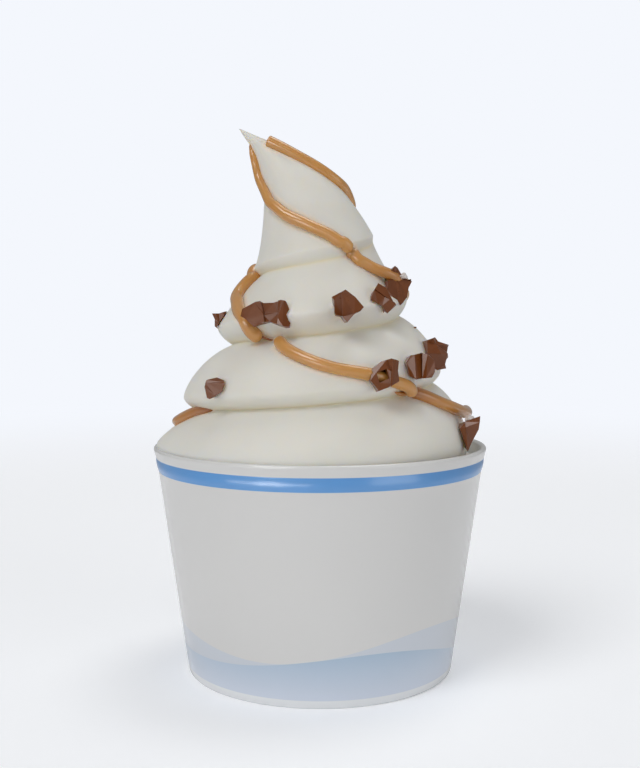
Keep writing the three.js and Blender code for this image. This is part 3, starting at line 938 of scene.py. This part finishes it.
def extrude_chunk(work, place, degrees, lean, deep, outline):
    """Chunk from its outline, narrower at the back; gives its middle behind the front's middle."""
    aside = Matrix.Rotation(math.radians(degrees), 3, "Z")
    back = Matrix.Rotation(math.radians(-lean), 3, "X")
    rows = []
    for behind, share in ((0, 1), (deep, BACK_SHARE)):
        spots = [aside @ back @ Vector((x * share, behind, z * share)) for x, z in outline]
        rows.append([work.verts.new((Vector(place) + spot) * MM) for spot in spots])
    front, rear = rows
    work.faces.new(front)
    work.faces.new(list(reversed(rear)))
    for i in range(len(outline)):
        j = (i + 1) % len(outline)
        work.faces.new((front[j], front[i], rear[i], rear[j]))
    bmesh.ops.recalc_face_normals(work, faces=work.faces)
    return (Vector(place) + Vector((0, deep / 2, 0))) * MM


def fold_front(work, middle, start, end, out):
    """Front bent along a line given in millimetres across and up from the chunk's middle."""
    first = middle + Vector((start[0], 0, start[1])) * MM
    run = Vector((end[0] - start[0], 0, end[1] - start[1]))
    everything = [*work.verts, *work.edges, *work.faces]
    aside = run.cross(Vector((0, 1, 0)))
    made = bmesh.ops.bisect_plane(work, geom=everything, plane_co=first, plane_no=aside)
    for part in made["geom_cut"]:
        if isinstance(part, bmesh.types.BMVert) and part.co.y < middle.y:
            part.co.y -= out * MM


def embed(work, middle, swirl_tree):
    """Points of the back that lie close to the yogurt pushed under its surface."""
    for vertex in work.verts:
        if vertex.co.y < middle.y:
            continue
        _, normal, _, distance = swirl_tree.find_nearest(vertex.co)
        if distance < EMBED_REACH * MM:
            vertex.co -= normal * EMBED_DEPTH * MM


def widen_hole(work):
    """The hole through a chunk made wider, seen from the front."""
    middle = Vector(HOLE_MIDDLE) * MM
    for vertex in work.verts:
        away = vertex.co - middle
        away.y = 0
        if away.length < HOLE_REACH * MM:
            vertex.co += away * (HOLE_WIDER - 1)


def make_chunks(swirl_tree, material):
    """All chunks, in the order of their names."""
    chunks = []
    for name in sorted(FOLDS):
        chunks.append(make_chunk(name, swirl_tree, material))
        ride(chunks[-1], "chocolate", name)
    return chunks


# Crumbs, and the pale lumps, of which one is a painted highlight

def make_crumb(name, place, size, material):
    """Small broken bit: the hull of a few seeded random points."""
    chance = random.Random(name)
    work = bmesh.new()
    for _ in range(CRUMB_POINTS):
        spot = Vector([chance.gauss(0, 1) for _ in range(3)]).normalized()
        spot = Vector([part * half for part, half in zip(spot, size)])
        spot *= chance.uniform(CRUMB_LEAST, 1)
        work.verts.new((Vector(place) + spot) * MM)
    bmesh.ops.convex_hull(work, input=work.verts)
    inner = [v for v in work.verts if not v.link_faces]
    bmesh.ops.delete(work, geom=inner, context="VERTS")
    bmesh.ops.recalc_face_normals(work, faces=work.faces)
    mesh = bpy.data.meshes.new(name)
    mesh.materials.append(material)
    work.to_mesh(mesh)
    work.free()
    return add_object(name, mesh)


def make_crumbs(rows, material, slot):
    for name, place, size in rows:
        ride(make_crumb(name, place, size, material), slot, "yogurt_swirl")


# Nodes that the materials are made of

def node(tree, kind, **settings):
    made = tree.nodes.new(kind)
    for key, value in settings.items():
        setattr(made, key, value)
    return made


def link(tree, source, target):
    tree.links.new(source, target)


def set_inputs(made, values):
    """Numbers and colours set on a node's own sockets."""
    for name, value in values.items():
        made.inputs[name].default_value = value


def feed(tree, value, socket):
    """A socket given a number or colour, or linked to another node's output."""
    if isinstance(value, (int, float, tuple)):
        socket.default_value = value
    else:
        link(tree, value, socket)


def math_node(tree, operation, *values):
    made = node(tree, "ShaderNodeMath", operation=operation)
    for socket, value in zip(made.inputs, values):
        feed(tree, value, socket)
    return made.outputs[0]


def mix_colors(tree, factor, first, second):
    made = node(tree, "ShaderNodeMix", data_type="RGBA")
    feed(tree, factor, made.inputs[MIX_FACTOR])
    feed(tree, first, made.inputs[MIX_FIRST])
    feed(tree, second, made.inputs[MIX_SECOND])
    return made.outputs[MIX_RESULT]


def map_range(tree, value, start, end, first=0, last=1, kind="LINEAR"):
    """A value between start and end turned into one between first and last."""
    made = node(tree, "ShaderNodeMapRange", interpolation_type=kind)
    set_inputs(made, {"From Min": start, "From Max": end, "To Min": first, "To Max": last})
    link(tree, value, made.inputs["Value"])
    return made.outputs["Result"]


def attribute(tree, name):
    return node(tree, "ShaderNodeAttribute", attribute_name=name).outputs["Fac"]


def own_place(tree):
    """The place on the piece itself, in metres."""
    return node(tree, "ShaderNodeTexCoord").outputs["Object"]


def own_axes(tree):
    split = node(tree, "ShaderNodeSeparateXYZ")
    link(tree, own_place(tree), split.inputs["Vector"])
    return split.outputs


def noise(tree, scale, detail=3, roughness=0.5):
    made = node(tree, "ShaderNodeTexNoise")
    set_inputs(made, {"Scale": scale, "Detail": detail, "Roughness": roughness})
    link(tree, own_place(tree), made.inputs["Vector"])
    return made.outputs["Fac"]


def make_bump(tree, height, deep, strength):
    """Bump of a depth in millimetres."""
    bump = node(tree, "ShaderNodeBump")
    set_inputs(bump, {"Strength": strength, "Distance": deep * MM})
    link(tree, height, bump.inputs["Height"])
    return bump


def add_grain(tree, shader, height, deep, strength):
    """Fine bump on the shader's surface."""
    bump = make_bump(tree, height, deep, strength)
    link(tree, bump.outputs["Normal"], shader.inputs["Normal"])
    return bump


# Materials

def new_material(name):
    material = bpy.data.materials.new(name)
    material.use_nodes = True
    tree = material.node_tree
    return material, tree, tree.nodes["Principled BSDF"]


def yogurt_color(tree):
    """Cream white, with painted light: lighter and warmer in the grooves, and lighter and warmer
    beside the caramel and the chocolate, over their shade.
    """
    color = mix_colors(tree, noise(tree, scale=60, detail=2), *YOGURT_SHADES)
    # Painted glow in the grooves, over their shade
    groove = math_node(tree, "POWER", attribute(tree, "groove"), GROOVE_GLOW_POWER)
    color = mix_colors(tree, groove, color, GROOVE_GLOW_COLOR)
    # Painted light beside the caramel and the chocolate, over their shade
    color = mix_colors(tree, attribute(tree, "lit_by_caramel"), color, LIT_BY_CARAMEL_COLOR)
    return mix_colors(tree, attribute(tree, "lit_by_chocolate"), color, LIT_BY_CHOCOLATE_COLOR)


def yogurt_spread(tree):
    """How far light spreads in the yogurt: less in the thin tip."""
    thin = [height * MM for height in (THIN_FROM, THIN_TO)]
    return map_range(tree, own_axes(tree)["Z"], *thin, YOGURT_SPREAD * MM, TIP_SPREAD * MM)


def yogurt_material():
    """Frozen yogurt with soft lumps and a fine icy grain."""
    material, tree, shader = new_material("yogurt")
    link(tree, yogurt_color(tree), shader.inputs["Base Color"])
    link(tree, yogurt_spread(tree), shader.inputs["Subsurface Scale"])
    set_inputs(shader, {
        "Roughness": 0.5,
        "Specular IOR Level": 0.35,
        "Subsurface Weight": 0.8,
        "Subsurface Radius": (1, 0.85, 0.6),
    })
    icy = noise(tree, scale=900, detail=3, roughness=0.6)
    lumps = math_node(tree, "MULTIPLY", noise(tree, scale=120, detail=2), LUMP_SHARE)
    add_grain(tree, shader, math_node(tree, "ADD", icy, lumps), deep=0.06, strength=0.35)
    return material


def caramel_material():
    """Golden caramel: glossy, slightly cloudy, darker where it is thick in a crease, with painted
    shade where it runs under a lip or a chunk.
    """
    material, tree, shader = new_material("caramel")
    color = mix_colors(tree, noise(tree, scale=140), *CARAMEL_SHADES)
    # Darker where thick in a crease, and painted shade under lips and chunks
    color = mix_colors(tree, attribute(tree, "dark"), color, THICK_SHADED_CARAMEL_COLOR)
    link(tree, color, shader.inputs["Base Color"])
    set_inputs(shader, {
        "Roughness": 0.35,
        "Subsurface Weight": 0.3,
        "Subsurface Radius": (1, 0.5, 0.2),
        "Subsurface Scale": 1.2 * MM,
        "Coat Weight": 1,
        "Coat IOR": 1.55,
        "Coat Roughness": 0.2,
    })
    add_grain(tree, shader, noise(tree, scale=260, detail=2), deep=0.08, strength=0.3)
    return material


def chocolate_material():
    """Milk chocolate with satin broken faces and a fine grain."""
    material, tree, shader = new_material("chocolate")
    color = mix_colors(tree, noise(tree, scale=420, detail=4), *CHOCOLATE_SHADES)
    link(tree, color, shader.inputs["Base Color"])
    rough = map_range(tree, noise(tree, scale=700, detail=2), 0, 1, first=0.24, last=0.36)
    link(tree, rough, shader.inputs["Roughness"])
    set_inputs(shader, {
        "Specular IOR Level": 0.25,
        "Coat Weight": 0.5,
        "Coat Roughness": 0.2,
    })
    grain = noise(tree, scale=1500, detail=3, roughness=0.6)
    add_grain(tree, shader, grain, deep=0.03, strength=0.3)
    return material


def pale_lump_material():
    """Pale, cloudy lump, half clear at its thin edges. On chunk 10's top it is a painted highlight,
    the glint there made solid.
    """
    material, tree, shader = new_material("pale_lump")
    color = mix_colors(tree, noise(tree, scale=900), *PALE_LUMP_SHADES)
    link(tree, color, shader.inputs["Base Color"])
    set_inputs(shader, {
        "Roughness": 0.2,
        "Subsurface Weight": 0.6,
        "Subsurface Radius": (1, 0.9, 0.85),
        "Subsurface Scale": 0.8 * MM,
        "Coat Weight": 0.6,
    })
    add_grain(tree, shader, noise(tree, scale=1800, detail=2), deep=0.04, strength=0.4)
    return material


def wave_height(tree, angle, wave):
    """Height of a printed wave at an angle round the cup, in millimetres."""
    total = wave[0]
    for count, (cosine, sine) in enumerate(wave[1:], start=1):
        turned_by = math_node(tree, "MULTIPLY", angle, count)
        first = math_node(tree, "MULTIPLY", math_node(tree, "COSINE", turned_by), cosine)
        second = math_node(tree, "MULTIPLY", math_node(tree, "SINE", turned_by), sine)
        total = math_node(tree, "ADD", total, math_node(tree, "ADD", first, second))
    return total


def edge_mask(tree, value, limit, softness):
    """1 where the value is below the limit, with a soft edge."""
    gap = math_node(tree, "SUBTRACT", limit, value)
    share = math_node(tree, "DIVIDE", gap, softness)
    made = node(tree, "ShaderNodeClamp")
    link(tree, math_node(tree, "ADD", share, 0.5), made.inputs["Value"])
    return made.outputs["Result"]


def print_color(tree, x, y, z):
    """Print on the card: two waves and a pale strip at the foot, and the band under the rim."""
    angle = math_node(tree, "ARCTAN2", x, math_node(tree, "MULTIPLY", y, -1))
    front_color = mix_colors(tree, map_range(tree, z, FOOT_STRIP, FADE_TOP), *FRONT_WAVE_COLORS)
    back = edge_mask(tree, z, wave_height(tree, angle, BACK_WAVE), WAVE_EDGE)
    front = edge_mask(tree, z, wave_height(tree, angle, FRONT_WAVE), WAVE_EDGE)
    strip = edge_mask(tree, z, FOOT_STRIP, WAVE_EDGE)
    below_top = edge_mask(tree, z, BAND_TOP, BAND_EDGE)
    below_band = edge_mask(tree, z, BAND_BOTTOM, BAND_EDGE)
    band = math_node(tree, "SUBTRACT", below_top, below_band)
    color = mix_colors(tree, back, CARD_COLOR, BACK_WAVE_COLOR)
    color = mix_colors(tree, front, color, front_color)
    color = mix_colors(tree, strip, color, STRIP_COLOR)
    return mix_colors(tree, band, color, BAND_COLOR)


def roll_band(tree, shader, grain, z):
    """The band's shine bent as on a round bead, under the card's grain and in its coat."""
    height = map_range(tree, z, BAND_TOP, BAND_BOTTOM)
    roll = make_bump(tree, height, deep=BAND_ROLL, strength=1)
    link(tree, roll.outputs["Normal"], grain.inputs["Normal"])
    link(tree, roll.outputs["Normal"], shader.inputs["Coat Normal"])


def cup_material():
    """Coated white card, printed on its outer face."""
    material, tree, shader = new_material("cup_card")
    x, y, z = (math_node(tree, "MULTIPLY", axis, 1 / MM) for axis in own_axes(tree))
    printed = math_node(tree, "GREATER_THAN", attribute(tree, "outside"), 0.5)
    color = mix_colors(tree, printed, CARD_COLOR, print_color(tree, x, y, z))
    link(tree, color, shader.inputs["Base Color"])
    set_inputs(shader, {
        "Roughness": 0.38,
        "Specular IOR Level": 0.5,
        "Coat Weight": 1,
        "Coat IOR": 1.6,
        "Coat Roughness": 0.18,
    })
    fibres = noise(tree, scale=1400, detail=4, roughness=0.6)
    grain = add_grain(tree, shader, fibres, deep=0.02, strength=0.25)
    roll_band(tree, shader, grain, z)
    return material


# Stage

def far_light(tree, camera_ray):
    """Glow of the far floor: as bright as the backdrop for the camera, and weaker as light."""
    glow = node(tree, "ShaderNodeEmission")
    set_inputs(glow, {"Color": BACKDROP})
    strength = math_node(tree, "MULTIPLY_ADD", camera_ray, 1 - FAR_GLOW, FAR_GLOW)
    link(tree, strength, glow.inputs["Strength"])
    return glow.outputs["Emission"]


def mix_shaders(tree, factor, first, second, output):
    blend = node(tree, "ShaderNodeMixShader")
    for source, socket in zip((factor, first, second), blend.inputs):
        link(tree, source, socket)
    link(tree, blend.outputs["Shader"], tree.nodes[output].inputs["Surface"])


def floor_material():
    """Pale floor, brought up to the brightness of the surroundings and fading into them."""
    material, tree, shader = new_material("floor")
    length = node(tree, "ShaderNodeVectorMath", operation="LENGTH")
    link(tree, own_place(tree), length.inputs[0])
    start, end = (radius * MM for radius in FLOOR_FADE)
    fade = map_range(tree, length.outputs["Value"], start, end, kind="SMOOTHSTEP")
    set_inputs(shader, {
        "Base Color": FLOOR_COLOR,
        "Roughness": 0.9,
        "Specular IOR Level": 0,
        "Emission Color": BACKDROP,
    })
    camera_ray = node(tree, "ShaderNodeLightPath").outputs["Is Camera Ray"]
    near_glow = math_node(tree, "MULTIPLY", camera_ray, FLOOR_GLOW)
    link(tree, near_glow, shader.inputs["Emission Strength"])
    far = far_light(tree, camera_ray)
    mix_shaders(tree, fade, shader.outputs["BSDF"], far, "Material Output")
    return material


def make_floor():
    corners = ((-1, -1), (1, -1), (1, 1), (-1, 1))
    points = [(x * FLOOR_HALF, y * FLOOR_HALF, 0) for x, y in corners]
    floor = make_piece("floor", points, [(0, 1, 2, 3)], floor_material())


def make_sun(name, direction, strength, softness):
    """Distant soft light that shines from a direction; softness is its angle in degrees."""
    data = bpy.data.lights.new(name, "SUN")
    data.energy = strength
    data.angle = math.radians(softness)
    lamp = add_object(name, data)
    lamp.rotation_euler = Vector(direction).to_track_quat("Z", "Y").to_euler()


def make_streak():
    """Long low softbox that shows only in reflections."""
    data = bpy.data.lights.new("streak", "AREA")
    data.shape = "RECTANGLE"
    data.size, data.size_y = (side * MM for side in STREAK_SIZE)
    data.energy = STREAK_POWER
    lamp = add_object("streak", data)
    out = Vector(STREAK_DIRECTION)
    lamp.location = (Vector((0, 0, STREAK_AIM)) + out * STREAK_DISTANCE) * MM
    lamp.rotation_euler = out.to_track_quat("Z", "Y").to_euler()
    lamp.visible_diffuse = False
    lamp.visible_camera = False


def make_world():
    """Backdrop that the camera sees, and the weaker light that the room gives."""
    world = bpy.data.worlds.new("studio")
    bpy.context.scene.world = world
    world.use_nodes = True
    tree = world.node_tree
    seen = tree.nodes["Background"]
    set_inputs(seen, {"Color": BACKDROP})
    lit = node(tree, "ShaderNodeBackground")
    set_inputs(lit, {"Color": ROOM_COLOR, "Strength": ROOM_LIGHT})
    camera_ray = node(tree, "ShaderNodeLightPath").outputs["Is Camera Ray"]
    mix_shaders(tree, camera_ray, lit.outputs[0], seen.outputs[0], "World Output")


def make_camera():
    data = bpy.data.cameras.new("camera")
    data.lens = LENS
    data.sensor_fit = "VERTICAL"
    data.sensor_height = SENSOR
    data.sensor_width = SENSOR
    camera = add_object("camera", data)
    camera.location = (0, -CAMERA_DISTANCE * MM, CAMERA_HEIGHT * MM)
    camera.rotation_euler = (math.pi / 2 - CAMERA_PITCH, 0, 0)
    bpy.context.scene.camera = camera


def make_stage():
    make_camera()
    make_world()
    for sun in SUNS:
        make_sun(*sun)
    make_streak()
    make_floor()
    bpy.context.scene.view_settings.view_transform = "Standard"


def ride(piece, slot, *nodes):
    """A piece put on the one body; the CAD nodes that it stands for are hidden, and its slot is not
    used.
    """
    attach(piece, "root")
    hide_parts(*nodes)


def main():
    make_stage()
    make_cup(cup_material())
    yogurt = make_swirl(yogurt_material())
    ride(yogurt, "yogurt", "yogurt_swirl")
    caramel = make_caramel(caramel_material())
    chocolate = chocolate_material()
    chunks = make_chunks(surface_tree(yogurt), chocolate)
    # Where the yogurt is painted lighter beside the caramel and the chocolate, over their shade
    keep_near(yogurt, "lit_by_caramel", caramel, CARAMEL_NEAR)
    keep_near(yogurt, "lit_by_chocolate", chunks, CHOCOLATE_NEAR)
    # Pale lumps; the lower one is a painted highlight on chunk 10's top
    make_crumbs(PALE_LUMPS, pale_lump_material(), "yogurt")
    make_crumbs(DARK_CRUMBS, chocolate, "chocolate")


main()
bpy.context.view_layer.update()
